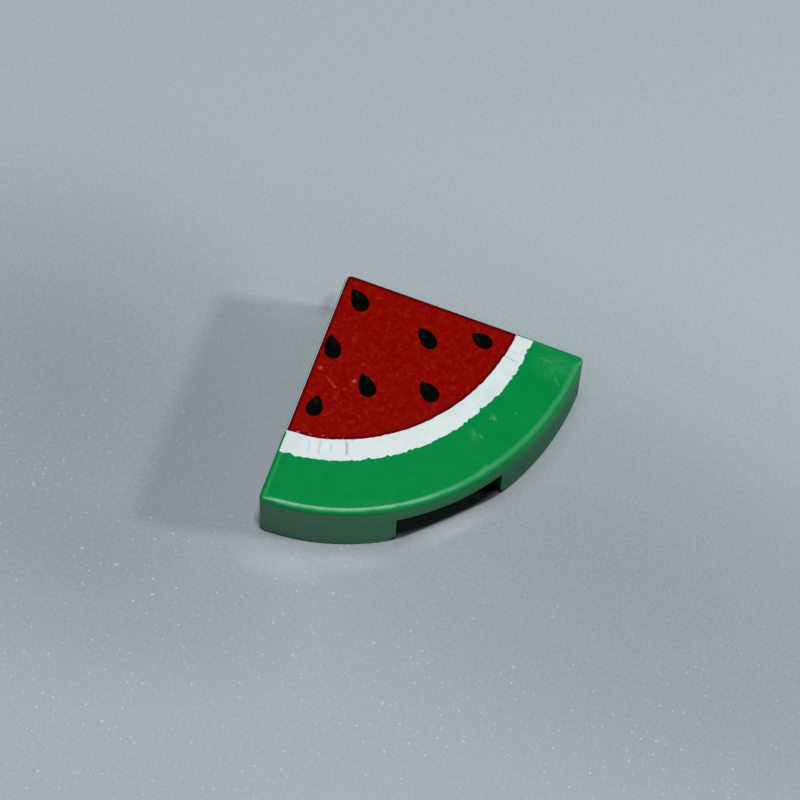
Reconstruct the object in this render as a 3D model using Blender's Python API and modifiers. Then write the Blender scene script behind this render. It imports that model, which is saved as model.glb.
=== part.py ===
# Flat quarter-round tile of a stud-and-socket building system, one module square.
# The origin is the axis of the stud that the tile presses onto, at the rim that rests
# on the surface. +Z is up, and the two straight sides face -X and +Y.

import math

import bmesh
import bpy

# Driving dimensions, in metres
MODULE = 0.008  # centre distance of neighbouring studs
CLEARANCE = 0.0001  # left free on each straight side, so that neighbours fit
HEIGHT = 0.0032  # from the rim to the flat top
STUD_DIAMETER = 0.0048
STUD_GRIP = 0.00001  # how much tighter than the stud the curved wall is beside the notch
SOCKET_CEILING = 0.00215  # height of the socket's flat ceiling above the rim
CURVED_WALL = 0.0008  # thickness of the wall under the curved side
NOTCH_WIDTH = 0.00356  # opening in the curved wall, where the stud comes closest to it
NOTCH_HEIGHT = 0.00205

APEX_ROUND = 0.0002  # upright edge between the two straight sides
TIP_ROUND = 0.00025  # upright edges where a straight side meets the curved one
RIM_ROUND = 0.00014  # edges round the top and the bottom
SOCKET_ROUND = 0.0003  # upright inner corners of the socket
CUT_MARGIN = 0.001  # how far a cutter reaches past the face that it opens

ARC_STEPS = 60  # segments of a quarter circle at full radius
STUD_STEPS = 96
FILLET_STEPS = 8
RIM_STEPS = 4

# Worked out from them
SIDE = MODULE - 2 * CLEARANCE
APEX_X = -SIDE / 2
APEX_Y = SIDE / 2
STRAIGHT_WALL = (SIDE - STUD_DIAMETER) / 2
SOCKET_RADIUS = SIDE - CURVED_WALL

GREEN = (0.010, 0.240, 0.075, 1.0)


def clear_scene():
    """Removes every object that the scene started with."""
    for obj in list(bpy.data.objects):
        bpy.data.objects.remove(obj, do_unlink=True)


def new_collection(name):
    """A collection of this name, linked to the scene."""
    collection = bpy.data.collections.new(name)
    bpy.context.scene.collection.children.link(collection)
    return collection


def arc_points(centre, radius, start, end, steps):
    """Points along an arc round centre, from angle start to angle end, ends included."""
    angles = [start + (end - start) * i / steps for i in range(steps + 1)]
    return [
        (centre[0] + radius * math.cos(a), centre[1] + radius * math.sin(a))
        for a in angles
    ]


def sector_outline(inset, radius, corner_round, tip_round):
    """Outline of a quarter sector, counter-clockwise, with its three corners rounded.

    Its straight sides run inset from the tile's straight sides, and its curved side is
    an arc of the given radius round the tile's apex.
    """
    left = APEX_X + inset
    back = APEX_Y - inset
    # A tip's fillet is tangent to its straight side and, from inside, to the arc.
    reach = math.sqrt((radius - tip_round) ** 2 - (inset + tip_round) ** 2)
    turn = math.atan2(inset + tip_round, reach)
    front_tip = (left + tip_round, APEX_Y - reach)
    right_tip = (APEX_X + reach, back - tip_round)
    corner = (left + corner_round, back - corner_round)
    half = math.pi / 2

    points = arc_points(corner, corner_round, half, math.pi, FILLET_STEPS)
    points += arc_points(front_tip, tip_round, math.pi, math.pi + half + turn, FILLET_STEPS)
    arc = arc_points((APEX_X, APEX_Y), radius, -half + turn, -turn, ARC_STEPS)
    points += arc[1:-1]
    points += arc_points(right_tip, tip_round, -turn, half, FILLET_STEPS)
    return points


def prism(name, outline, low, high, collection):
    """A closed mesh object of the outline, standing from height low to height high."""
    curve = bpy.data.curves.new(name + "_outline", "CURVE")
    curve.dimensions = "2D"
    curve.fill_mode = "BOTH"
    curve.extrude = (high - low) / 2
    spline = curve.splines.new("POLY")
    spline.points.add(len(outline) - 1)
    for point, (x, y) in zip(spline.points, outline):
        point.co = (x, y, 0.0, 1.0)
    spline.use_cyclic_u = True
    drawn = bpy.data.objects.new(name + "_outline", curve)
    drawn.location.z = (low + high) / 2
    collection.objects.link(drawn)
    bpy.context.view_layer.update()

    evaluated = drawn.evaluated_get(bpy.context.evaluated_depsgraph_get())
    mesh = bpy.data.meshes.new_from_object(evaluated)
    mesh.name = name
    solid = bpy.data.objects.new(name, mesh)
    solid.matrix_world = drawn.matrix_world.copy()
    collection.objects.link(solid)
    bpy.data.objects.remove(drawn, do_unlink=True)

    shape = bmesh.new()
    shape.from_mesh(mesh)
    bmesh.ops.remove_doubles(shape, verts=shape.verts, dist=1e-6)
    bmesh.ops.dissolve_limit(
        shape, angle_limit=math.radians(0.1), verts=shape.verts, edges=shape.edges
    )
    bmesh.ops.recalc_face_normals(shape, faces=shape.faces)
    shape.to_mesh(mesh)
    shape.free()
    return solid


def socket_cutter(collection):
    """The hollow under the top: it holds the stud between the two straight walls."""
    outline = sector_outline(STRAIGHT_WALL, SOCKET_RADIUS, SOCKET_ROUND, SOCKET_ROUND)
    return prism("socket_cutter", outline, -CUT_MARGIN, SOCKET_CEILING, collection)


def stud_relief_cutter(collection):
    """The stud's own round: it thins the curved wall on both sides of the notch.

    The wall's two ends grip the stud there, against the straight walls.
    """
    around = arc_points((0.0, 0.0), STUD_DIAMETER / 2 - STUD_GRIP, 0.0, 2 * math.pi, STUD_STEPS)
    return prism("stud_relief_cutter", around[:-1], -CUT_MARGIN, NOTCH_HEIGHT, collection)


def notch_cutter(collection):
    """The opening in the middle of the curved wall, with parallel sides."""
    inner = SOCKET_RADIUS - CUT_MARGIN
    outer = SIDE + CUT_MARGIN
    low = -CUT_MARGIN
    middle = (inner + outer) / 2 / math.sqrt(2)
    mesh = bpy.data.meshes.new("notch_cutter")
    shape = bmesh.new()
    bmesh.ops.create_cube(shape, size=1.0)
    bmesh.ops.scale(
        shape, vec=(outer - inner, NOTCH_WIDTH, NOTCH_HEIGHT - low), verts=shape.verts
    )
    shape.to_mesh(mesh)
    shape.free()
    cutter = bpy.data.objects.new("notch_cutter", mesh)
    cutter.location = (APEX_X + middle, APEX_Y - middle, (NOTCH_HEIGHT + low) / 2)
    cutter.rotation_euler.z = -math.pi / 4
    collection.objects.link(cutter)
    return cutter


def round_rims(tile):
    """Rounds the edges where the top and the bottom meet the upright sides."""
    bevel = tile.modifiers.new("rim_round", "BEVEL")
    bevel.width = RIM_ROUND
    bevel.segments = RIM_STEPS
    bevel.limit_method = "ANGLE"
    bevel.angle_limit = math.radians(60)


def cut(tile, cutter):
    """Takes the cutter's shape out of the tile."""
    cutter.hide_render = True
    cutter.display_type = "WIRE"
    boolean = tile.modifiers.new(cutter.name, "BOOLEAN")
    boolean.operation = "DIFFERENCE"
    boolean.solver = "EXACT"
    boolean.object = cutter


def green_plastic():
    """Glossy green moulded plastic."""
    material = bpy.data.materials.new("green_plastic")
    material.use_nodes = True
    shader = material.node_tree.nodes["Principled BSDF"]
    shader.inputs["Base Color"].default_value = GREEN
    shader.inputs["Roughness"].default_value = 0.28
    shader.inputs["Metallic"].default_value = 0.0
    return material


def build_tile(parts, cutters):
    """The whole tile, one moulding."""
    outline = sector_outline(0.0, SIDE, APEX_ROUND, TIP_ROUND)
    tile = prism("quarter_tile", outline, 0.0, HEIGHT, parts)
    tile.data.materials.append(green_plastic())
    tile.data.shade_smooth()
    tile.data.set_sharp_from_angle(angle=math.radians(35))
    round_rims(tile)
    cut(tile, socket_cutter(cutters))
    cut(tile, stud_relief_cutter(cutters))
    cut(tile, notch_cutter(cutters))
    return tile


clear_scene()
build_tile(new_collection("quarter_round_tile"), new_collection("cutters"))
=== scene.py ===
import math

import bpy
import numpy as np
from mathutils import Matrix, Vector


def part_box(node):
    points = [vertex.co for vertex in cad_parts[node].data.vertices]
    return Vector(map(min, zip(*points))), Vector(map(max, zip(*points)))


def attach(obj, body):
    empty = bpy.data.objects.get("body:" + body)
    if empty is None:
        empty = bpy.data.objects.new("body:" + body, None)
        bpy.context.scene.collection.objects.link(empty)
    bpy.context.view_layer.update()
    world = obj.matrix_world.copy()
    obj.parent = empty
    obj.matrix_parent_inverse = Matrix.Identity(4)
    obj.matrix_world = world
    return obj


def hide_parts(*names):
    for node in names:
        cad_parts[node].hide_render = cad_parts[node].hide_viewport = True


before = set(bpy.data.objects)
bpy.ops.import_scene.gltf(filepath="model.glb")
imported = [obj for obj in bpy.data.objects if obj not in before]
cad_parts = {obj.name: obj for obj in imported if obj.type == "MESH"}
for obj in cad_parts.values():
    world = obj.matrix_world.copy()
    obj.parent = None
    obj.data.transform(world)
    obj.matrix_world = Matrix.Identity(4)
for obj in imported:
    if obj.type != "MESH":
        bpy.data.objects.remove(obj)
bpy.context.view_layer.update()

mm = 0.001
tileLow, tileHigh = (np.array(corner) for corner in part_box("quarter_tile"))
apex = np.array([tileLow[0], tileHigh[1]])  # the wedge's point, where the straight sides meet
topHeight = tileHigh[2]
diagonal = np.array([1.0, -1.0]) / math.sqrt(2)  # from the apex to the middle of the curved side
sideward = np.array([1.0, 1.0]) / math.sqrt(2)  # along the curved side at its middle, to the right
print("frame: tile is", [round(float(v) / mm, 3) for v in tileHigh - tileLow], "mm")

# Camera: azimuth 0 looks along +Y, and the tile lies off the view's centre without lens shift
view = dict(
    azimuth=17.733,
    elevation=71.47,
    roll=-2.731,
    distance=139.24 * mm,
    lens=202.5,
    sensor=36,
    near=5 * mm,  # nothing closer than this is drawn, nor anything beyond far
    far=10,
    aside=0.6512 * mm,  # how far right of the view's centre the tile's middle lies
    below=1.3512 * mm,
)


def placeCamera(settings):
    # Back direction from azimuth and elevation; right and down are turned round it by the roll;
    # the place is the tile's middle, plus back times distance, minus the two offsets.
    turn = math.radians(settings["azimuth"])
    rise = math.radians(settings["elevation"])
    roll = math.radians(settings["roll"])
    back = np.array([math.sin(turn) * math.cos(rise), -math.cos(turn) * math.cos(rise), math.sin(rise)])
    level = np.cross(-back, (0, 0, 1))
    level /= np.linalg.norm(level)
    sunk = np.cross(-back, level)
    right = level * math.cos(roll) + sunk * math.sin(roll)
    down = sunk * math.cos(roll) - level * math.sin(roll)
    middle = np.array([0.0, 0.0, topHeight / 2])
    place = middle + back * settings["distance"] - right * settings["aside"] - down * settings["below"]
    camera = bpy.data.objects.new("wedgeCamera", bpy.data.cameras.new("wedgeCamera"))
    camera.data.lens = settings["lens"]
    camera.data.sensor_width = settings["sensor"]
    camera.data.clip_start = settings["near"]
    camera.data.clip_end = settings["far"]
    turned = np.eye(4)
    turned[:3, 0] = right
    turned[:3, 1] = -down
    turned[:3, 2] = back
    turned[:3, 3] = place
    camera.matrix_world = Matrix(turned.tolist())
    bpy.context.scene.collection.objects.link(camera)
    bpy.context.scene.camera = camera


placeCamera(view)

# Tone response: straight light, with the darkest tones pulled a little further down
response = [(0.01, 0.004), (0.03, 0.017), (0.06, 0.042), (0.12, 0.104), (0.25, 0.243), (0.45, 0.455)]


def setResponse(points):
    # Bends the one curve that red, green and blue share through the points.
    settings = bpy.context.scene.view_settings
    settings.view_transform = "Standard"
    settings.use_curve_mapping = True
    curve = settings.curve_mapping.curves[3]
    for level, shown in points:
        curve.points.new(level, shown)
    settings.curve_mapping.update()


setResponse(response)
print("camera placed")


def addNode(tree, kind, feeds=None, **settings):
    # One node with its settings; each feed is a number, a colour or another node's output.
    made = tree.nodes.new(kind)
    for name, value in settings.items():
        setattr(made, name, value)
    for name, value in (feeds or {}).items():
        if isinstance(value, bpy.types.NodeSocket):
            tree.links.new(value, made.inputs[name])
        else:
            made.inputs[name].default_value = value
    return made


def calc(tree, operation, first, second=0.0):
    # The result of one maths operation.
    return addNode(tree, "ShaderNodeMath", {0: first, 1: second}, operation=operation).outputs[0]


def chain(tree, operation, parts):
    # The first pattern joined to the second, the result to the third and so on.
    result = parts[0]
    for part in parts[1:]:
        result = calc(tree, operation, result, part)
    return result


def fade(tree, value, low, high, fromLevel=0.0, toLevel=1.0):
    # Runs smoothly from one level to the other while the value goes from low to high.
    feeds = {"Value": value, "From Min": low, "From Max": high, "To Min": fromLevel, "To Max": toLevel}
    return addNode(tree, "ShaderNodeMapRange", feeds, interpolation_type="SMOOTHSTEP").outputs[0]


def blend(tree, amount, under, over):
    # Lays one colour over another by the amount.
    made = addNode(tree, "ShaderNodeMix", data_type="RGBA")
    for place, value in ((0, amount), (6, under), (7, over)):
        if isinstance(value, bpy.types.NodeSocket):
            tree.links.new(value, made.inputs[place])
        else:
            made.inputs[place].default_value = value
    return made.outputs[2]


def colour(red, green, blue):
    return (red, green, blue, 1.0)


def millimetres(tree):
    # The piece's own coordinates, counted in millimetres.
    own = addNode(tree, "ShaderNodeTexCoord").outputs["Object"]
    scale = (1 / mm, 1 / mm, 1 / mm)
    return addNode(tree, "ShaderNodeMapping", {"Vector": own, "Scale": scale}).outputs[0]


def apart(tree, where):
    # The three coordinates, each by itself.
    return addNode(tree, "ShaderNodeSeparateXYZ", {"Vector": where}).outputs


def fromPoint(tree, where):
    # How far right of the wedge's point and how far in front of it, and the distance from it,
    # which is the root of the sum of their squares.
    x, y, _ = apart(tree, where)
    right = calc(tree, "SUBTRACT", x, apex[0] / mm)
    front = calc(tree, "SUBTRACT", apex[1] / mm, y)
    squares = calc(tree, "ADD", calc(tree, "MULTIPLY", right, right), calc(tree, "MULTIPLY", front, front))
    return right, front, calc(tree, "SQRT", squares)


def marked(tree, label):
    # The number that the piece keeps at its corners under this label.
    return addNode(tree, "ShaderNodeAttribute", attribute_name=label).outputs["Fac"]


def cloud(tree, where, perMm, detail=3.0, rough=0.5, bent=0.0):
    # Soft noise, 0 to 1, with so many blots to the millimetre.
    feeds = {"Vector": where, "Scale": perMm, "Detail": detail, "Roughness": rough, "Distortion": bent}
    return addNode(tree, "ShaderNodeTexNoise", feeds).outputs["Fac"]


def spot(tree, where, x, y, turn, length, width, core=0.3):
    # An oval patch, turned by turn degrees: 1 inside its core, fading to 0 at its half length and
    # half width.
    feeds = {
        "Vector": where,
        "Location": (x, y, topHeight / mm),
        "Rotation": (0, 0, math.radians(turn)),
        "Scale": (length, width, 1000),  # so tall that height makes no difference
    }
    near = addNode(tree, "ShaderNodeMapping", feeds, vector_type="TEXTURE").outputs[0]
    far = addNode(tree, "ShaderNodeVectorMath", {0: near}, operation="LENGTH").outputs["Value"]
    return fade(tree, far, core, 1.0, 1.0, 0.0)


def spots(tree, where, places, core=0.3):
    # Many oval patches, each as strong as the last of its numbers; the strongest one shows.
    patches = []
    for *place, strength in places:
        patches.append(calc(tree, "MULTIPLY", spot(tree, where, *place, core), strength))
    return chain(tree, "MAXIMUM", patches)


def newFinish(name):
    # An empty material: its name, its node tree and its shader.
    finish = bpy.data.materials.new(name)
    finish.use_nodes = True
    tree = finish.node_tree
    return finish, tree, tree.nodes["Principled BSDF"]


def bumped(tree, height, reach):
    # A bump from a height pattern; reach is how high 1 stands, in metres.
    feeds = {"Height": height, "Strength": 1.0, "Distance": reach}
    return addNode(tree, "ShaderNodeBump", feeds).outputs["Normal"]


def grooved(tree, depth, reach, surface):
    # Grooves cut into a bumped surface; reach is how deep 1 lies, in metres.
    feeds = {"Height": depth, "Strength": 1.0, "Distance": reach, "Normal": surface}
    return addNode(tree, "ShaderNodeBump", feeds, invert=True).outputs["Normal"]


# The moulding: one closed skin, from the middle of the top over the outer wall and the rim
# into the socket
moulding = dict(
    arcRadius=7.8 * mm,
    skinGap=0.003 * mm,  # keeps the skin just inside the tile's solid
    printRoom=0.024 * mm,  # height left for the ink films on the top
    apexRound=0.2 * mm,
    tipRound=0.17 * mm,
    topRound=0.2 * mm,  # along the curved side
    straightRound=0.08 * mm,  # along the two straight sides
    tipTop=0.12 * mm,  # round the two tips between them
    rimRound=0.1 * mm,
    straightWall=1.5 * mm,
    curvedWall=0.8 * mm,
    socketRound=0.3 * mm,
    socketCeiling=2.15 * mm,
    ceilingRound=0.04 * mm,
    studRadius=2.39 * mm,  # the curved wall makes way for the stud beside the notch
    studFade=0.03 * mm,  # height over which that ends, below the notch's ceiling
    notchHalf=1.78 * mm,
    notchHeight=2.05 * mm,
    notchFoot=0.5 * mm,  # rounding where the notch's sides run into the rim
    notchCorner=0.06 * mm,
    notchEdge=0.035 * mm,  # rounding of the notch's edges, seen as a thin bright line
)
# Columns of the skin's grid, in order from the apex
columns = dict(
    corner=18,
    straight=54,
    tip=18,
    arc=84,
    foot=12,
    side=18,
    bend=7,
    ceiling=60,
    lead=9,  # columns before a tip and after it over which the top's rounding grows
    grown=12,
)
# Rows of the skin's grid, band by band from the middle of the top to that of the socket's ceiling
bands = dict(
    top=14, topEdge=9, wall=26, rim=7, underside=9, innerEdge=5, innerWall=18, hollow=5, ceiling=10,
)
# Above the notch the columns spread out again, to so many times its half width
columnSpread = np.array([-1.36, -0.95, 0.95, 1.36])


def steps(count, start=0.0, stop=1.0):
    # Even steps from start, the last one left out.
    return start + (stop - start) * np.arange(count) / count


def eased(count):
    # Steps from 0 to 1 that crowd towards both ends: half of one minus the cosine of a half turn.
    return (1 - np.cos(np.pi * np.arange(1, count + 1) / count)) / 2


def onCircle(centre, radius, degrees):
    # Points of a circle: the centre plus the radius times the direction of each angle.
    angles = np.radians(degrees)
    return np.stack([centre[0] + radius * np.cos(angles), centre[1] + radius * np.sin(angles)], -1)


def notchWalk():
    # Up the notch's left side, along its ceiling and down its right side, as sideways place,
    # height and the direction that faces into the notch: straight lines joined by quarter
    # circles, bulging at the foot and hollow at the ceiling. The right side mirrors the left.
    half, high = moulding["notchHalf"], moulding["notchHeight"]
    foot, bend = moulding["notchFoot"], moulding["notchCorner"]
    footTurn = np.radians(steps(columns["foot"], -90, 0))
    bendTurn = np.radians(steps(columns["bend"], 180, 90))
    rise = steps(columns["side"], foot, high - bend)
    along = steps(columns["ceiling"], -half + bend, half - bend)
    up = np.concatenate([
        np.stack([foot * np.cos(footTurn) - half - foot, foot * np.sin(footTurn) + foot,
                  np.cos(footTurn), np.sin(footTurn)], 1),
        np.stack([0 * rise - half, rise, 0 * rise + 1, 0 * rise], 1),
        np.stack([bend * np.cos(bendTurn) - half + bend, bend * np.sin(bendTurn) + high - bend,
                  -np.cos(bendTurn), -np.sin(bendTurn)], 1),
    ])
    ceiling = np.stack([along, 0 * along + high, 0 * along, 0 * along - 1], 1)
    turned = np.array([[half - bend, high, 0.0, -1.0]])
    down = np.concatenate([turned, up[:0:-1] * (-1, 1, -1, 1)])
    return up, ceiling, down


def reliefRadius(angle, height, radius):
    # The curved wall's distance from the apex: its own radius, or the far side of the stud's
    # circle where that reaches further, below the notch's ceiling.
    if radius == outerRadius:
        return np.full(np.broadcast(angle, height).shape, radius)
    centre = float(-apex @ diagonal)
    off = np.radians(angle + 45)
    under = moulding["studRadius"] ** 2 - (centre * np.sin(off)) ** 2
    stud = np.where(under > 0, centre * np.cos(off) + np.sqrt(np.maximum(under, 0)), 0)
    level = np.clip((height - moulding["notchHeight"]) / moulding["studFade"] + 1, 0, 1)
    level = level * level * (3 - 2 * level)
    return np.maximum(radius, stud) * (1 - level) + radius * level


def wallWalk(inset, radius, cornerRound, tipRound):
    # Once round a quarter sector, counter-clockwise from the apex: two straight lines and an arc
    # joined by circles. For each column it gives the wall's lower edge, the wall's outward
    # direction there, the direction that its underside faces, and the column's upper end.
    left, back = apex[0] + inset, apex[1] - inset
    reach = math.sqrt((radius - tipRound) ** 2 - (inset + tipRound) ** 2)
    turn = math.degrees(math.atan2(inset + tipRound, reach))
    corner = (left + cornerRound, back - cornerRound)
    frontTip = (left + tipRound, apex[1] - reach)
    rightTip = (apex[0] + reach, back - tipRound)
    up, ceiling, down = notchWalk()
    notch = np.concatenate([up, ceiling, down])

    # Where each column of the notch stands on this wall
    sideways = notch[:, 0]
    own = np.sqrt(radius ** 2 - sideways ** 2)
    notchAngle = np.degrees(np.arctan2(sideways, own)) - 45
    for _ in range(4):  # the stud's circle moves the notch's side further out, in a few rounds
        distance = reliefRadius(notchAngle, notch[:, 1], radius)
        notchAngle = np.degrees(np.arcsin(sideways / distance)) - 45

    begin, end = turn - 90, -turn
    footHalf = moulding["notchHalf"] + moulding["notchFoot"]
    footDistance = float(reliefRadius(notchAngle[:1], 0 * mm, radius)[0])
    footAngle = math.degrees(math.asin(footHalf / footDistance))
    along = steps(columns["straight"])
    cornerTurn = steps(columns["corner"], 90, 180)
    frontTurn = steps(columns["tip"], 180, 270 + turn)
    rightTurn = steps(columns["tip"], -turn, 90)
    sections = [
        (onCircle(corner, cornerRound, cornerTurn), cornerTurn),
        (np.stack([0 * along + left, corner[1] + (frontTip[1] - corner[1]) * along], 1), 0 * along + 180),
        (onCircle(frontTip, tipRound, frontTurn), frontTurn),
    ]
    arcAngle = np.concatenate([
        steps(columns["arc"], begin, -45 - footAngle), notchAngle, steps(columns["arc"], footAngle - 45, end),
    ])
    first = sum(len(place) for place, _ in sections)
    marks = first + np.cumsum([0, columns["arc"], len(up), len(ceiling), len(down), columns["arc"]])
    height = np.zeros(len(arcAngle))
    height[columns["arc"]:-columns["arc"]] = notch[:, 1]
    arcPlace = apex + onCircle((0, 0), 1, arcAngle) * reliefRadius(arcAngle, height, radius)[:, None]
    sections += [
        (arcPlace, arcAngle),
        (onCircle(rightTip, tipRound, rightTurn), rightTurn),
        (np.stack([rightTip[0] + (corner[0] - rightTip[0]) * along, 0 * along + back], 1), 0 * along + 90),
    ]
    place = np.concatenate([part for part, _ in sections])
    facing = np.concatenate([angle for _, angle in sections])
    outward = onCircle((0, 0), 1, facing)

    # On the stud's circle, a hair or more outside the arc, the wall faces the stud's axis
    lifted = np.hypot(*(place - apex).T) > radius * 1.0005
    lifted &= (np.arange(len(place)) >= first) & (np.arange(len(place)) < marks[-1])
    outward[lifted] = place[lifted] / np.linalg.norm(place[lifted], axis=1)[:, None]

    low = np.column_stack([place, np.zeros(len(place))])
    low[first:marks[-1], 2] = height
    under = np.tile((0.0, 0.0, -1.0), (len(place), 1))
    under[marks[1]:marks[4], :2] = notch[:, 2:3] * sideward
    under[marks[1]:marks[4], 2] = notch[:, 3]

    spread = np.degrees(np.arcsin(columnSpread * moulding["notchHalf"] / radius)) - 45
    topAngle = np.interp(np.arange(first, marks[-1]), marks, [begin, *spread, end])
    top, topFacing = place.copy(), facing.copy()
    top[first:marks[-1]] = apex + onCircle((0, 0), radius, topAngle)
    topFacing[first:marks[-1]] = topAngle
    return dict(
        low=low, outward=np.column_stack([outward, np.zeros(len(place))]), under=under, radius=radius,
        top=top, topOutward=np.column_stack([onCircle((0, 0), 1, topFacing), np.zeros(len(place))]),
        arc=slice(first, marks[-1]), marks=marks,
    )


def roundedEdge(corner, fromFace, toFace, size, rows):
    # An edge's rounding: a circle that touches both faces, turned from one face's direction to
    # the other's by equal angles.
    dot = np.sum(fromFace * toFace, axis=1)[:, None]
    angle = np.arccos(np.clip(dot, -1, 1))
    centre = corner - size[:, None] * (fromFace + toFace) / (1 + dot)
    share = np.linspace(0, 1, rows)[:, None, None]
    facing = (np.sin((1 - share) * angle) * fromFace + np.sin(share * angle) * toFace) / np.sin(angle)
    return centre + size[:, None] * facing


def wallRows(walk, lowRow, topRow, count):
    # Rows between a wall's two ends: straight lines on the flat parts; on the curved part angle
    # and height run evenly, and the distance from the apex follows from both.
    share = eased(count)[:, None, None]
    rows = lowRow + (topRow - lowRow) * share
    part = walk["arc"]
    lowAway, topAway = lowRow[part, :2] - apex, topRow[part, :2] - apex
    lowAngle = np.degrees(np.arctan2(lowAway[:, 1], lowAway[:, 0]))
    topAngle = np.degrees(np.arctan2(topAway[:, 1], topAway[:, 0]))
    angle = lowAngle + (topAngle - lowAngle) * share[:, :, 0]
    distance = reliefRadius(angle, rows[:, part, 2], walk["radius"])
    rows[:, part, :2] = apex + onCircle((0, 0), 1, angle) * distance[:, :, None]
    return rows


def closedShell(rows):
    # Turns a stack of closed rows into corners and faces: each row is joined to the next one by
    # four-sided faces, and the first and last rows shrink to one corner each.
    rowCount, width = len(rows) - 2, rows[0].shape[0]
    corners = np.concatenate([rows[0][:1], np.concatenate(rows[1:-1]), rows[-1][:1]])
    here = 1 + np.arange(rowCount - 1)[:, None] * width + np.arange(width)[None, :]
    beside = 1 + np.arange(rowCount - 1)[:, None] * width + (np.arange(width)[None, :] + 1) % width
    quads = np.stack([here, here + width, beside + width, beside], -1).reshape(-1, 4)
    ring = 1 + np.arange(width)
    following = 1 + (np.arange(width) + 1) % width
    lastRing = (rowCount - 1) * width
    firstFan = np.stack([0 * ring, ring, following], 1)
    lastFan = np.stack([0 * ring + len(corners) - 1, following + lastRing, ring + lastRing], 1)
    return corners, quads.tolist() + firstFan.tolist() + lastFan.tolist()


def makePiece(name, corners, faces, finish, marks=None):
    # A mesh object of the corners and faces, smooth shaded, riding on the tile; marks are numbers
    # kept at each corner for its finish.
    mesh = bpy.data.meshes.new(name)
    mesh.from_pydata(corners.tolist(), [], faces)
    mesh.shade_smooth()
    for label, values in (marks or {}).items():
        mesh.attributes.new(label, "FLOAT", "POINT").data.foreach_set("value", values.astype(np.float32))
    mesh.materials.append(finish)
    mesh.validate()
    piece = bpy.data.objects.new(name, mesh)
    bpy.context.scene.collection.objects.link(piece)
    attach(piece, "root")
    return piece


outerRadius = moulding["arcRadius"] - moulding["skinGap"]
skinTop = topHeight - moulding["printRoom"]


def mouldingShell():
    # Top face, top rounding, outer wall, rim rounding, underside, inner rounding, inner wall and
    # ceiling, each a set of rows that starts where the one before it ends. It gives the corners,
    # the faces and each corner's distance from the top's rounded rim.
    outer = wallWalk(moulding["skinGap"], outerRadius, moulding["apexRound"], moulding["tipRound"])
    innerRadius = moulding["arcRadius"] - moulding["curvedWall"]
    inner = wallWalk(moulding["straightWall"], innerRadius, moulding["socketRound"], moulding["socketRound"])
    marks = outer["marks"]
    count = len(outer["low"])
    foot = columns["foot"]
    edgeMarks = [0, marks[1], marks[1] + foot, marks[4] - foot, marks[4], count]
    rim, fine = moulding["rimRound"], moulding["notchEdge"]
    edgeSize = np.interp(np.arange(count), edgeMarks, [rim, rim, fine, fine, rim, rim])
    upward = np.array([0.0, 0.0, 1.0])

    # The top's rounding grows from the straight sides over the tips to the curved side
    growing = [moulding[name] for name in ("straightRound", "tipTop", "tipTop", "topRound")]
    tip, lead, grown = columns["tip"], columns["lead"], columns["grown"]
    places = [marks[0] - tip - lead, marks[0] - tip, marks[0], marks[0] + grown,
              marks[-1] - grown, marks[-1], marks[-1] + tip, marks[-1] + tip + lead]
    roundTop = np.interp(np.arange(count), places, growing + growing[::-1])
    topCorner = np.column_stack([outer["top"], np.full(count, skinTop)])
    topEdge = roundedEdge(topCorner, upward + 0 * topCorner, outer["topOutward"], roundTop, bands["topEdge"])
    middle = np.append(topEdge[0].mean(0)[:2], skinTop)
    shares = 1 - (1 - steps(bands["top"])) ** 2.2  # rows crowd towards the rim
    topFace = middle + (topEdge[0] - middle) * shares[:, None, None]
    outerEdge = roundedEdge(outer["low"], outer["outward"], outer["under"], edgeSize, bands["rim"])
    outerWall = wallRows(outer, topEdge[-1], outerEdge[0], bands["wall"])[:-1]
    innerSize = np.minimum(edgeSize, fine)
    innerEdge = roundedEdge(inner["low"], inner["under"], -inner["outward"], innerSize, bands["innerEdge"])
    across = eased(bands["underside"])[:-1, None, None]
    underside = outerEdge[-1] + (innerEdge[0] - outerEdge[-1]) * across

    hollow = moulding["ceilingRound"]
    turnUp = np.linspace(0, math.pi / 2, bands["hollow"])[:, None, None]
    ceilingCentre = np.column_stack([inner["top"], np.full(count, moulding["socketCeiling"] - hollow)])
    ceilingCentre -= inner["topOutward"] * hollow
    ceilingEdge = ceilingCentre + hollow * (np.cos(turnUp) * inner["topOutward"] + np.sin(turnUp) * upward)
    innerWall = wallRows(inner, innerEdge[-1], ceilingEdge[0], bands["innerWall"])[:-1]
    innerMiddle = np.append(ceilingEdge[-1].mean(0)[:2], moulding["socketCeiling"])
    inwards = (np.arange(1, bands["ceiling"] + 1) / bands["ceiling"]) ** 1.4
    ceilingFace = ceilingEdge[-1] + (innerMiddle - ceilingEdge[-1]) * inwards[:, None, None]
    rows = [*topFace, *topEdge, *outerWall, *outerEdge, *underside]
    rows += [*innerEdge, *innerWall, *ceilingEdge, *ceilingFace]
    corners, faces = closedShell(rows)
    corners[:, 2] = np.maximum(corners[:, 2], 0)

    # How far each corner is from the top's rounded rim, measured over the surface
    flatDistance = np.minimum(corners[:, 0] - apex[0], apex[1] - corners[:, 1])
    flatDistance = np.minimum(flatDistance, outerRadius - np.hypot(*(corners[:, :2] - apex).T))
    toRim = np.hypot(np.maximum(flatDistance, 0), np.maximum(skinTop - corners[:, 2], 0)) / mm
    return corners, faces, toRim


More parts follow.
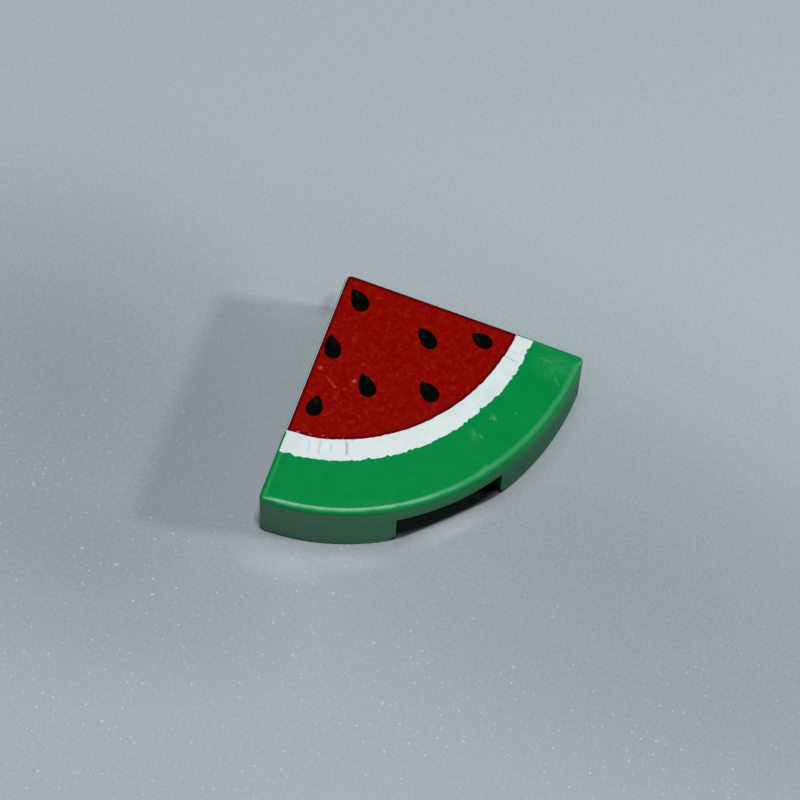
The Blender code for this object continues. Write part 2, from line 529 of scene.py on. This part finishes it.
# Green plastic
greenPlastic = dict(
    deep=colour(0.003, 0.268, 0.078),
    fresh=colour(0.006, 0.292, 0.09),
    worn=colour(0.10, 0.39, 0.18),
    bareAndHighlight=colour(0.2, 0.54, 0.28),  # the rim's edge, pale partly from rubbed wear and partly as painted highlight
    paintedWallShade=colour(0.022, 0.125, 0.06),  # painted shade, low on the walls
    scuffStrength=0.75,
    scratchStrength=0.1,
    scratches=((-18, 26.0), (35, 22.0), (78, 30.0)),  # turn in degrees, lines to the millimetre
    rimBand=0.28,  # millimetres of paler plastic along the top's rounded edge
    roughness=(0.12, 0.17),
    scuffRoughness=0.2,  # added where it is scuffed
    wallRoughness=(0.38, 0.52),  # on the left and on the right
    rimRoughness=(0.36, 0.55),
    specular=0.32,
    grainHeight=0.0009 * mm,
    scratchDepth=0.0002 * mm,
)
# Scuffs on the top: place, turn in degrees, half length, half width (millimetres) and strength
scuffs = [
    (1.93, 1.08, -32, 0.2, 0.1, 0.8),
    (1.86, 1.05, 80, 0.12, 0.05, 0.6),
    (1.78, 0.37, -28, 0.18, 0.045, 0.7),
    (2.53, 1.45, 0, 0.05, 0.05, 0.8),
    (2.85, 3.38, -13, 0.55, 0.07, 0.55),
    (3.36, 2.85, -40, 0.3, 0.06, 0.55),
    (3.1, 3.3, 10, 0.9, 0.6, 0.3),
    (-0.3, -2.8, 22, 1.5, 0.3, 0.14),
    (0.75, -1.9, 30, 0.1, 0.03, 0.5),
    (2.2, -0.55, 60, 0.25, 0.12, 0.5),
    (1.55, 0.35, -40, 0.3, 0.16, 0.5),
]


def greenFinish():
    # Green with soft mottling, paler where it is scuffed or scratched and along the top's rim, a pale line
    # along the rim's front that is partly rubbed wear and partly painted highlight, and painted shade,
    # darker and duller, low on the walls, over a fine grain.
    finish, tree, shader = newFinish("greenPlastic")
    where = millimetres(tree)
    right, front, _ = fromPoint(tree, where)
    down = calc(tree, "SUBTRACT", topHeight / mm, apart(tree, where)[2])
    onTop = fade(tree, down, 0.05, 0.13, 1.0, 0.0)
    toRim = marked(tree, "toRim")
    plastic = blend(tree, cloud(tree, where, 0.55, 4.0, 0.6), greenPlastic["deep"], greenPlastic["fresh"])

    crumbs = fade(tree, cloud(tree, where, 9.0, 4.0, 0.7), 0.34, 0.58)
    scuffed = calc(tree, "MULTIPLY", spots(tree, where, scuffs), crumbs)

    # Scratches: noise stretched along a few directions, kept where it is strongest
    lines = []
    for turn, fineness in greenPlastic["scratches"]:
        feeds = {"Vector": where, "Rotation": (0, 0, math.radians(turn)), "Scale": (0.5, fineness, 0.5)}
        lined = addNode(tree, "ShaderNodeMapping", feeds).outputs[0]
        lines.append(fade(tree, cloud(tree, lined, 1.0, 1.0, 0.4, 0.15), 0.68, 0.76))
    scratched = chain(tree, "MAXIMUM", lines)
    scratched = calc(tree, "MULTIPLY", scratched, fade(tree, cloud(tree, where, 0.8, 2.0), 0.45, 0.6))

    band = chain(tree, "MULTIPLY", [
        fade(tree, toRim, 0.02, greenPlastic["rimBand"], 1.0, 0.0),
        fade(tree, cloud(tree, where, 3.0, 3.0), 0.3, 0.7, 0.2, 0.55),
        fade(tree, right, 0.1, 0.9, 0.1, 0.35),
        onTop,
    ])
    pale = chain(tree, "MAXIMUM", [
        calc(tree, "MULTIPLY", scuffed, greenPlastic["scuffStrength"]),
        calc(tree, "MULTIPLY", scratched, greenPlastic["scratchStrength"]),
        band,
    ])
    plastic = blend(tree, pale, plastic, greenPlastic["worn"])

    # A pale line along the rim, partly rubbed wear and partly painted highlight, strongest in front, which
    # leaves out the two straight sides
    rubbedAndHighlight = chain(tree, "MULTIPLY", [
        fade(tree, toRim, 0.08, 0.12),
        fade(tree, toRim, 0.14, 0.21, 1.0, 0.0),
        fade(tree, cloud(tree, where, 2.4, 4.0, 0.7), 0.3, 0.6, 0.25, 0.9),
        fade(tree, front, 3.4, 7.3, 0.12, 0.9),
        fade(tree, right, 0.08, 0.28),
        fade(tree, front, 0.15, 0.4),
        onTop,
    ])
    plastic = blend(tree, rubbedAndHighlight, plastic, greenPlastic["bareAndHighlight"])
    # Painted shade: darker and duller low on the walls, more so towards the right
    towardsRight = fade(tree, calc(tree, "SUBTRACT", right, front), -3.0, 5.0, 0.35, 1.0)
    paintedWallShade = calc(tree, "MULTIPLY", fade(tree, down, 0.3, 1.7, 0.0, 0.8), towardsRight)
    tree.links.new(blend(tree, paintedWallShade, plastic, greenPlastic["paintedWallShade"]), shader.inputs["Base Color"])

    smooth, rough = greenPlastic["roughness"]
    matt = fade(tree, cloud(tree, where, 2.2, 4.0, 0.65), 0.3, 0.7, smooth, rough)
    matt = calc(tree, "ADD", matt, calc(tree, "MULTIPLY", scuffed, greenPlastic["scuffRoughness"]))
    onWall = chain(tree, "MULTIPLY", [
        fade(tree, down, 0.03, 0.15),
        fade(tree, right, 3.4, 6.9, *greenPlastic["wallRoughness"]),
    ])
    nearRim = chain(tree, "MULTIPLY", [
        fade(tree, toRim, 0.16, 0.3, 1.0, 0.0),
        fade(tree, right, 3.4, 5.9, *greenPlastic["rimRoughness"]),
        fade(tree, right, 0.08, 0.4),
        fade(tree, front, 0.08, 0.4),
    ])
    tree.links.new(chain(tree, "MAXIMUM", [matt, onWall, nearRim]), shader.inputs["Roughness"])
    shader.inputs["Specular IOR Level"].default_value = greenPlastic["specular"]
    grain = bumped(tree, cloud(tree, where, 7.0, 3.0, 0.55), greenPlastic["grainHeight"])
    tree.links.new(grooved(tree, scratched, greenPlastic["scratchDepth"], grain), shader.inputs["Normal"])
    return finish


corners, faces, toRim = mouldingShell()
body = makePiece("tileMoulding", corners, faces, greenFinish(), dict(toRim=toRim))
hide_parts("quarter_tile")
print("moulding:", len(faces), "faces")


# The print: films of ink on the top, each on the one before it
ink = dict(
    step=0.007 * mm,  # thickness of each film
    sunk=0.002 * mm,  # how far each film reaches down into what it lies on
    margin=0.014 * mm,  # the least distance from the straight sides
    coarse=(6, 0.4),  # raggedness: width of its bell curve in points, and its share
    fine=(2, 0.8),
    rightEnd=1.25,  # how ragged the curved border is towards its two ends
    leftEnd=0.75,
    straight=0.12,  # how much of that the straight sides take
    seedPoints=160,
    seedSoftness=0.012 * mm,
    arcBand=(0.2 * mm, 0.05 * mm),  # inside the curved border: where it begins and is full
)
redPrint = dict(
    left=0.048 * mm,  # how far it stops short of the straight sides
    back=0.03 * mm,
    centre=(-4.25 * mm, 4.35 * mm),  # of its curved border
    radius=5.955 * mm,
    corner=0.06 * mm,
    ragged=0.006 * mm,
    count=1000,
    seed=4,
    # Nicks in the curved border: angle in degrees, depth and half width in millimetres
    nicks=((88.5, 0.065, 0.6),),
)
whitePrint = dict(
    left=0.06 * mm,
    back=0.05 * mm,
    underLeft=0.018 * mm,  # under the red it reaches closer to the sides
    underBack=0.022 * mm,
    centre=(-4.14 * mm, 4.12 * mm),
    radius=6.38 * mm,
    corner=0.05 * mm,
    ragged=0.017 * mm,
    count=1300,
    seed=11,
    nicks=((26.7, 0.07, 0.05), (31.3, 0.04, 0.04), (38.9, 0.035, 0.035), (57.8, 0.04, 0.04),
           (63.4, 0.04, 0.05), (5.5, 0.05, 0.06), (9.6, 0.045, 0.04), (12.9, 0.04, 0.05), (86.2, 0.05, 0.09)),
)
# Seeds: middle, length and width in millimetres, where the point faces in degrees from +X, and
# how far the point leans to its left
seeds = [
    dict(at=(-3.25, 3.22), long=0.82, wide=0.54, turn=134, lean=0.04),
    dict(at=(-3.46, 1.50), long=0.78, wide=0.54, turn=106, lean=0.10),
    dict(at=(-0.88, 2.76), long=0.82, wide=0.49, turn=152, lean=-0.06),
    dict(at=(0.73, 3.29), long=0.74, wide=0.47, turn=172, lean=-0.04),
    dict(at=(-2.04, 0.70), long=0.80, wide=0.53, turn=118, lean=0.12),
    dict(at=(-0.21, 1.18), long=0.78, wide=0.54, turn=142, lean=0.05),
    dict(at=(-3.33, -0.49), long=0.70, wide=0.52, turn=98, lean=-0.04),
]


def smoothRing(values, width):
    # Blurs numbers round a closed line with a bell curve so many steps wide.
    reach = np.arange(-3 * width, 3 * width + 1)
    bell = np.exp(-0.5 * (reach / width) ** 2)
    bell /= bell.sum()
    return sum(weight * np.roll(values, shift, axis=0) for weight, shift in zip(bell, reach))


def softened(ring, size, spacing):
    # Rounds a line's corners: a bell curve of this size, turned into steps of the line's spacing.
    return smoothRing(ring, max(1, int(round(size / spacing))))


def evenRing(points, count):
    # Spreads points evenly along a closed line, by its length; gives them and their spacing.
    closed = np.concatenate([points, points[:1]])
    length = np.concatenate([[0], np.cumsum(np.linalg.norm(np.diff(closed, axis=0), axis=1))])
    wanted = steps(count, 0, length[-1])
    return np.stack([np.interp(wanted, length, closed[:, axis]) for axis in (0, 1)], 1), length[-1] / count


def outwardOf(ring):
    # The outward direction at each point of a counter-clockwise line: its run turned right.
    run = np.roll(ring, -1, axis=0) - np.roll(ring, 1, axis=0)
    run /= np.linalg.norm(run, axis=1)[:, None]
    return np.stack([run[:, 1], -run[:, 0]], 1)


def crossing(film, left, back):
    # Where a film's curved border meets the lines of its two straight sides, by Pythagoras.
    (x, y), radius = film["centre"], film["radius"]
    return y - math.sqrt(radius ** 2 - (left - x) ** 2), x + math.sqrt(radius ** 2 - (back - y) ** 2)


def apexCorner(left, back):
    # The outline's corner at the wedge's point: a quarter circle about the moulding's own centre.
    size = moulding["apexRound"] - (left - apex[0])
    return onCircle((left + size, back - size), size, np.linspace(90, 180, 30))


def wedgeRing(film, inner=None):
    # A wedge's outline: a straight left side, an arc round the film's own centre and a straight
    # back side, spread evenly, blurred at the corners and pushed in and out by smoothed chance,
    # never past the margin along the straight sides.
    left, back = apex[0] + film["left"], apex[1] - film["back"]
    centre, radius = np.array(film["centre"]), film["radius"]
    begin = -math.acos((left - centre[0]) / radius)
    end = math.asin((back - centre[1]) / radius)
    arc = onCircle(centre, radius, np.degrees(np.linspace(begin, end, 400)))
    corners = np.concatenate([apexCorner(left, back), arc])
    if inner:
        # It steps out to its wider part where the film above it begins
        low, far = crossing(inner, left, back)
        wideLeft, wideBack = apex[0] + film["underLeft"], apex[1] - film["underBack"]
        before = [*apexCorner(wideLeft, wideBack), (wideLeft, low), (left, low)]
        corners = np.concatenate([before, arc, [(far, back), (far, wideBack)]])
    ring, spacing = evenRing(corners, film["count"])
    ring = softened(ring, film["corner"] / 2, spacing)

    chance = np.random.default_rng(film["seed"])
    push = 0
    for width, share in (ink["coarse"], ink["fine"]):
        wander = smoothRing(chance.normal(size=film["count"]), width)
        push = push + wander / wander.std() * share * film["ragged"]
    fromApex, fromCentre = ring - apex, ring - centre
    around = -np.degrees(np.arctan2(fromApex[:, 1], fromApex[:, 0]))
    push *= np.interp(around, (20, 60), (ink["rightEnd"], ink["leftEnd"]))
    for angle, depth, half in film["nicks"]:
        off = np.radians(around - angle) * np.hypot(*fromApex.T) / (half * mm)
        push -= depth * mm * np.exp(-off ** 2)

    # Near the arc it is pushed straight from the centre, elsewhere a little, square to the sides
    distance = np.hypot(*fromCentre.T)[:, None]
    beginArc, fullArc = ink["arcBand"]
    onArc = np.clip((distance - radius + beginArc) / (beginArc - fullArc), 0, 1)
    outward = outwardOf(ring) * (1 - onArc) * ink["straight"] + fromCentre / distance * onArc
    ring += outward * push[:, None]
    ring[:, 0] = np.maximum(ring[:, 0], apex[0] + ink["margin"])
    ring[:, 1] = np.minimum(ring[:, 1], apex[1] - ink["margin"])
    return ring


def seedRing(seed):
    # A drop: cosine lengthwise, sine times a power of the half angle's sine crosswise, which
    # draws one end out to a point; the lean bends that end to one side.
    turn = np.radians(seed["turn"])
    around = 2 * np.pi * steps(ink["seedPoints"])
    lengthwise = np.cos(around)
    crosswise = np.sin(around) * np.abs(np.sin(around / 2)) ** 0.65
    crosswise *= seed["wide"] / 2 / crosswise.max()
    crosswise += seed["lean"] * ((lengthwise + 1) / 2) ** 2
    lengthwise = lengthwise * seed["long"] / 2
    drop = np.stack([lengthwise * np.cos(turn) - crosswise * np.sin(turn),
                     lengthwise * np.sin(turn) + crosswise * np.cos(turn)], 1)
    ring, spacing = evenRing((np.array(seed["at"]) + drop) * mm, ink["seedPoints"])
    return softened(ring, ink["seedSoftness"], spacing)


def skinHeight(place):
    # Height of the moulding's top under a place: flat, then down a quarter circle along the
    # straight sides, whose outline turns round the wedge's point on its own circle.
    inside = np.stack([place[..., 0] - apex[0], apex[1] - place[..., 1]], -1) - moulding["skinGap"]
    turned, size = moulding["apexRound"], moulding["straightRound"]
    toOutline = turned - np.linalg.norm(np.maximum(turned - inside, 0), axis=-1)
    past = np.clip(size - np.minimum(toOutline, inside.min(-1)), 0, size)
    return skinTop - size + np.sqrt(size ** 2 - past ** 2)


def filmShell(ring, layer):
    # A film with a rounded border: rows shrink from the border towards the middle, above at the
    # film's own height and below a little inside what it lies on. The third result is each
    # corner's distance from the border.
    low, high = layer * ink["step"], (layer + 1) * ink["step"]
    middle = ring.mean(0)
    away = outwardOf(smoothRing(ring, 4))
    inner = ring - away * ink["step"]
    shares = (0, 0.3, 0.5, 0.65, 0.76, 0.84, 0.9, 0.935, 0.96, 0.975, 0.987)
    flat = [middle + (inner - middle) * share for share in shares]
    rows = [np.column_stack([place, skinHeight(place) + high]) for place in flat]
    for turn in np.linspace(0, math.pi / 2, 4):
        place = inner + away * ink["step"] * math.sin(turn)
        rows.append(np.column_stack([place, skinHeight(place) + low + ink["step"] * math.cos(turn)]))
    for place in (ring, *flat[::-1]):
        rows.append(np.column_stack([place, skinHeight(place) + low - ink["sunk"]]))
    corners, faces = closedShell(rows)
    fromEdge = []
    for part in np.array_split(corners, 40):  # in batches, to spare memory
        toRing = np.linalg.norm(part[:, None, :2] - ring[None, ::3], axis=2)
        fromEdge.append(toRing.min(1))
    return corners, faces, np.concatenate(fromEdge) / mm


def joined(shells):
    # Several shells as one: each shell's faces are counted on from the corners before it.
    corners, faces, marks, start = [], [], [], 0
    for shellCorners, shellFaces, shellMarks in shells:
        corners.append(shellCorners)
        marks.append(shellMarks)
        faces += [[index + start for index in face] for face in shellFaces]
        start += len(shellCorners)
    return np.concatenate(corners), faces, np.concatenate(marks)


# White ink
whiteInk = dict(
    bright=colour(0.775, 0.875, 0.88),
    dull=colour(0.70, 0.80, 0.80),
    crack=colour(0.40, 0.43, 0.42),
    stain=colour(0.62, 0.30, 0.26),
    fringe=0.035,  # millimetres at the border where the ink thins and the green shows through
    shownThrough=colour(0.05, 0.33, 0.17),
    roughness=0.42,
    grainHeight=0.0012 * mm,
    crackDepth=0.006 * mm,
)
# Cracks across the band: angle in degrees, inner and outer distance from the point, half width
# (millimetres), strength
cracks = [
    (81.4, 5.5, 6.05, 0.05, 0.3),
    (78.1, 5.5, 6.0, 0.055, 0.4),
    (74.5, 5.55, 5.85, 0.05, 0.4),
    (69.8, 5.45, 5.95, 0.055, 0.8),
    (26.4, 5.6, 6.1, 0.03, 0.25),
    (8.4, 5.55, 6.0, 0.05, 0.45),
    (6.0, 5.66, 5.95, 0.045, 0.3),
]


def whiteFinish():
    # Bright ink, duller in places, with cracks that run straight out from the wedge's point, red
    # specks beside the red film and a thin border where the green shows through.
    finish, tree, shader = newFinish("whiteInk")
    where = millimetres(tree)
    clouded = fade(tree, cloud(tree, where, 1.4, 4.0, 0.6), 0.35, 0.7)
    film = blend(tree, clouded, whiteInk["bright"], whiteInk["dull"])

    right, front, away = fromPoint(tree, where)
    wander = calc(tree, "MULTIPLY", calc(tree, "SUBTRACT", cloud(tree, where, 2.6, 2.0), 0.5), 0.02)
    around = calc(tree, "ADD", calc(tree, "ARCTAN2", front, right), wander)
    lines = []
    for angle, near, far, half, strength in cracks:
        off = calc(tree, "ABSOLUTE", calc(tree, "SUBTRACT", around, math.radians(angle)))
        lines.append(chain(tree, "MULTIPLY", [
            fade(tree, calc(tree, "MULTIPLY", off, away), half * 0.3, half, strength, 0.0),
            fade(tree, away, near - 0.05, near + 0.05),
            fade(tree, away, far - 0.12, far, 1.0, 0.0),
        ]))
    cracked = chain(tree, "MAXIMUM", lines)
    film = blend(tree, cracked, film, whiteInk["crack"])

    # Red ink spilt over the border in small specks
    specks = fade(tree, cloud(tree, where, 11.0, 2.0, 0.6), 0.62, 0.72, 0.0, 0.7)
    specks = calc(tree, "MULTIPLY", specks, fade(tree, away, 5.45, 5.66, 1.0, 0.0))
    film = blend(tree, specks, film, whiteInk["stain"])
    thin = fade(tree, marked(tree, "fromEdge"), 0.0, whiteInk["fringe"], 0.65, 0.0)
    tree.links.new(blend(tree, thin, film, whiteInk["shownThrough"]), shader.inputs["Base Color"])
    shader.inputs["Roughness"].default_value = whiteInk["roughness"]
    grain = bumped(tree, cloud(tree, where, 8.0, 4.0, 0.6), whiteInk["grainHeight"])
    tree.links.new(grooved(tree, cracked, whiteInk["crackDepth"], grain), shader.inputs["Normal"])
    return finish


# Red ink
redInk = dict(
    deep=colour(0.265, 0.003, 0.0015),
    warm=colour(0.345, 0.03, 0.004),
    outline=colour(0.125, 0.001, 0.008),
    chip=colour(0.52, 0.115, 0.09),
    outlineWidth=0.13,  # millimetres of darker ink along the border
    roughness=(0.27, 0.38),
    specular=0.04,
    grainHeight=0.0012 * mm,
)
# Chips that show the white under it: place, turn in degrees, half length, half width, strength
chips = [
    (-3.6, 0.72, 20, 0.1, 0.085, 0.7),
    (-2.47, 0.68, 60, 0.1, 0.08, 0.85),
    (-2.98, 0.30, -25, 0.11, 0.06, 0.5),
    (-2.66, 0.32, 0, 0.07, 0.05, 0.3),
    (-2.4, 1.29, 0, 0.09, 0.06, 0.25),
    (-3.15, 0.405, -31, 0.36, 0.05, 0.3),
    (-2.85, -0.02, 20, 0.12, 0.05, 0.2),
    (-3.5, -1.47, 10, 0.09, 0.06, 0.9),
    (-3.13, -1.40, 0, 0.07, 0.045, 0.7),
    (-2.75, -1.31, 20, 0.07, 0.045, 0.7),
    (-2.58, -1.34, 0, 0.05, 0.04, 0.6),
    (-2.14, -1.18, 0, 0.05, 0.04, 0.6),
]


def redFinish():
    # Red mottled by soft noise, darker in its pores and along its border, with small chips down to
    # the white.
    finish, tree, shader = newFinish("redInk")
    where = millimetres(tree)
    mottled = fade(tree, cloud(tree, where, 5.0, 6.0, 0.8, 0.5), 0.46, 0.7)
    film = blend(tree, mottled, redInk["deep"], redInk["warm"])
    pores = fade(tree, cloud(tree, where, 14.0, 3.0, 0.6), 0.3, 0.42, 0.3, 0.0)
    film = blend(tree, pores, film, redInk["outline"])
    width = redInk["outlineWidth"]
    edge = fade(tree, marked(tree, "fromEdge"), width * 0.4, width, 0.9, 0.0)
    film = blend(tree, edge, film, redInk["outline"])
    film = blend(tree, spots(tree, where, chips), film, redInk["chip"])
    tree.links.new(film, shader.inputs["Base Color"])
    matt = fade(tree, cloud(tree, where, 3.0, 3.0), 0.3, 0.7, *redInk["roughness"])
    tree.links.new(matt, shader.inputs["Roughness"])
    shader.inputs["Specular IOR Level"].default_value = redInk["specular"]
    grain = bumped(tree, cloud(tree, where, 6.0, 4.0, 0.6), redInk["grainHeight"])
    tree.links.new(grain, shader.inputs["Normal"])
    return finish


# Black ink
blackInk = dict(
    dark=colour(0.003, 0.0022, 0.0026),
    sheen=colour(0.02, 0.02, 0.022),
    border=colour(0.045, 0.002, 0.002),
    borderWidth=0.05,  # millimetres
    roughness=0.3,
    specular=0.06,
    grainHeight=0.0012 * mm,
)


def blackFinish():
    # Near black, with a painted sheen towards each seed's point, and a soft brownish border.
    finish, tree, shader = newFinish("blackInk")
    where = millimetres(tree)
    # Painted sheen: a lighter patch towards each seed's point
    gleams = []
    for seed in seeds:
        turn, long = math.radians(seed["turn"]), seed["long"]
        x, y = seed["at"][0] + 0.2 * long * math.cos(turn), seed["at"][1] + 0.2 * long * math.sin(turn)
        gleams.append((x, y, seed["turn"], 0.3 * long, 0.22 * seed["wide"], 1.0))
    cloudy = fade(tree, cloud(tree, where, 5.0, 3.0), 0.35, 0.65, 0.2, 0.8)
    gleam = calc(tree, "MULTIPLY", spots(tree, where, gleams, 0.1), cloudy)
    film = blend(tree, gleam, blackInk["dark"], blackInk["sheen"])
    edge = fade(tree, marked(tree, "fromEdge"), 0.0, blackInk["borderWidth"], 0.8, 0.0)
    tree.links.new(blend(tree, edge, film, blackInk["border"]), shader.inputs["Base Color"])
    shader.inputs["Roughness"].default_value = blackInk["roughness"]
    shader.inputs["Specular IOR Level"].default_value = blackInk["specular"]
    grain = bumped(tree, cloud(tree, where, 7.0, 3.0), blackInk["grainHeight"])
    tree.links.new(grain, shader.inputs["Normal"])
    return finish


def layFilm(name, shell, finish):
    # A film as a piece, with its corners' distances from the border for the finish.
    corners, faces, fromEdge = shell
    makePiece(name, corners, faces, finish, dict(fromEdge=fromEdge))


layFilm("whitePrint", filmShell(wedgeRing(whitePrint, redPrint), 0), whiteFinish())
layFilm("redPrint", filmShell(wedgeRing(redPrint), 1), redFinish())
seedShells = [filmShell(seedRing(seed), 2) for seed in seeds]
layFilm("seedPrint", joined(seedShells), blackFinish())
print("print laid on: white, red and", len(seeds), "seeds")


# Floor: a pale satin sheet under the tile
floorSheet = dict(
    half=420 * mm,
    lines=21,  # of its grid, each way
    drop=0.002 * mm,  # just below the tile's rim
    pale=colour(0.425, 0.50, 0.555),
    # dull is the mottling's dark tone, and also the colour of the painted shade patches
    dull=colour(0.262, 0.298, 0.333),
    front=colour(0.358, 0.408, 0.453),
    # the bright specks' colour, also used for the painted glows
    speckAndGlow=colour(0.72, 0.78, 0.82),
    paintedShadeUnder=colour(0.03, 0.036, 0.036),  # painted shade, where the tile keeps the light out
    mottling=0.12,
    roughness=0.45,
    grainHeight=0.002 * mm,
    # Duller patches of painted shade round the tile, the last a painted contact shadow beside the apex,
    # and brighter glows of painted light: middle, turn in degrees, half length, half width, strength
    patches=(
        (-11, -2, 0, 14, 11, 0.95),
        (-9, -6, 0, 13, 6, 0.9),
        (7, -1.5, -8, 25, 11, 0.95),
        # painted contact shadow beside the apex
        (-4.5, 3.75, 80, 0.9, 0.5, 1.0),
    ),
    # Painted light: reflected light in front of the curved wall, and light filling parts of the side lamp's
    # shadow beside the apex and in front of the notch
    paintedGlows=(
        (-6.0, 3.3, 6, 2.2, 0.8, 0.07),
        (-2.8, -4.7, 12, 2.2, 0.65, 0.15),
        (-1.0, -3.95, 22, 2.2, 0.5, 0.12),
        (1.7, -1.75, 45, 2.2, 0.5, 0.28),
    ),
)


def floorFinish():
    # Pale grey-blue with broad patches of painted shade round the tile, faint mottling, fine bright
    # specks, soft glows of painted light in front of the curved wall and beside the apex, painted shade
    # below the tile, over a soft grain.
    finish, tree, shader = newFinish("floorSheet")
    where = millimetres(tree)
    y = apart(tree, where)[1]
    speckAndGlow = floorSheet["speckAndGlow"]
    sheet = blend(tree, fade(tree, y, -9, 6), floorSheet["front"], floorSheet["pale"])
    # Painted shade in duller patches round the tile
    sheet = blend(tree, spots(tree, where, floorSheet["patches"], 0.0), sheet, floorSheet["dull"])
    mottled = fade(tree, cloud(tree, where, 9.0, 3.0, 0.7), 0.25, 0.75)
    sheet = blend(tree, floorSheet["mottling"], sheet, blend(tree, mottled, floorSheet["dull"], speckAndGlow))
    specks = fade(tree, cloud(tree, where, 6.5, 1.5, 0.6), 0.665, 0.74, 0.0, 0.55)
    sheet = blend(tree, calc(tree, "MULTIPLY", specks, fade(tree, y, -8, 3, 1.0, 0.1)), sheet, speckAndGlow)
    # Painted light: soft glows on the floor
    sheet = blend(tree, spots(tree, where, floorSheet["paintedGlows"], 0.1), sheet, speckAndGlow)

    # Painted shade: the darkness keeps just inside the tile's outline, and ends in a straight line at the
    # notch
    right, front, away = fromPoint(tree, where)
    outward = calc(tree, "MULTIPLY", calc(tree, "ADD", right, front), math.sqrt(0.5))
    under = chain(tree, "MULTIPLY", [
        fade(tree, right, -0.06, 0.04),
        fade(tree, front, -0.06, 0.04),
        fade(tree, away, 7.72, 7.82, 0.95, 0.0),
        fade(tree, outward, 7.56, 7.68, 1.0, 0.0),
    ])
    tree.links.new(blend(tree, under, sheet, floorSheet["paintedShadeUnder"]), shader.inputs["Base Color"])
    shader.inputs["Roughness"].default_value = floorSheet["roughness"]
    grain = bumped(tree, cloud(tree, where, 3.5, 4.0, 0.65), floorSheet["grainHeight"])
    tree.links.new(grain, shader.inputs["Normal"])
    return finish


def makeFloor():
    # A flat grid that runs from minus half to plus half on both sides; the square of each line's
    # share of the way makes it finer towards the middle.
    lines = floorSheet["lines"]
    share = np.linspace(-1, 1, lines)
    run = np.sign(share) * share ** 2 * floorSheet["half"]
    x, y = np.meshgrid(run, run)
    corners = np.stack([x, y, 0 * x - floorSheet["drop"]], -1).reshape(-1, 3)
    start = (np.arange(lines - 1)[:, None] * lines + np.arange(lines - 1)).reshape(-1)
    faces = np.stack([start, start + 1, start + lines + 1, start + lines], 1)
    mesh = bpy.data.meshes.new("floor")
    mesh.from_pydata(corners.tolist(), [], faces.tolist())
    mesh.materials.append(floorFinish())
    floor = bpy.data.objects.new("floor", mesh)
    bpy.context.scene.collection.objects.link(floor)


makeFloor()

# Lamps: where each one shines from, half its width in degrees, the share of light that it gives
# a level surface, and its colour
lamps = dict(
    key=dict(direction=(0.055, -0.055, 1.0), half=2.5, share=0.42, tint=(1.0, 0.99, 0.97)),
    soft=dict(direction=(-0.045, 0.01, 1.0), half=9, share=0.20, tint=(0.96, 0.99, 1.0)),
    side=dict(direction=(0.765, 0.19, 0.629), half=3.0, share=0.2, tint=(0.97, 0.99, 1.0)),
    front=dict(direction=(-0.1, -0.326, 0.945), half=2.5, share=0.02, tint=(1.0, 1.0, 1.0)),
)
ambient = dict(tint=(0.75, 0.9, 1.0), strength=0.035)
lampDistance = 300 * mm


def lightUp(name, lamp):
    # A round lamp that faces the tile. Its power is the share times pi squared times the
    # distance squared, over the sine of its height, so that a level surface gets the share.
    direction = np.array(lamp["direction"]) / np.linalg.norm(lamp["direction"])
    light = bpy.data.lights.new(name, "AREA")
    light.shape = "DISK"
    light.size = 2 * lampDistance * math.tan(math.radians(lamp["half"]))
    light.color = lamp["tint"]
    light.energy = lamp["share"] * math.pi ** 2 * lampDistance ** 2 / direction[2]
    holder = bpy.data.objects.new(name, light)
    side = np.cross((0.0, 1.0, 0.1), direction)  # across the lamp; no lamp shines along that line
    side /= np.linalg.norm(side)
    turned = np.eye(4)
    turned[:3, 0], turned[:3, 1], turned[:3, 2] = side, np.cross(direction, side), direction
    turned[:3, 3] = direction * lampDistance
    holder.matrix_world = Matrix(turned.tolist())
    holder.visible_camera = False
    bpy.context.scene.collection.objects.link(holder)


for name, lamp in lamps.items():
    lightUp(name + "Lamp", lamp)
world = bpy.data.worlds.new("room")
world.use_nodes = True
background = world.node_tree.nodes["Background"]
background.inputs["Color"].default_value = colour(*ambient["tint"])
background.inputs["Strength"].default_value = ambient["strength"]
bpy.context.scene.world = world
print("floor and", len(lamps), "lamps in place")
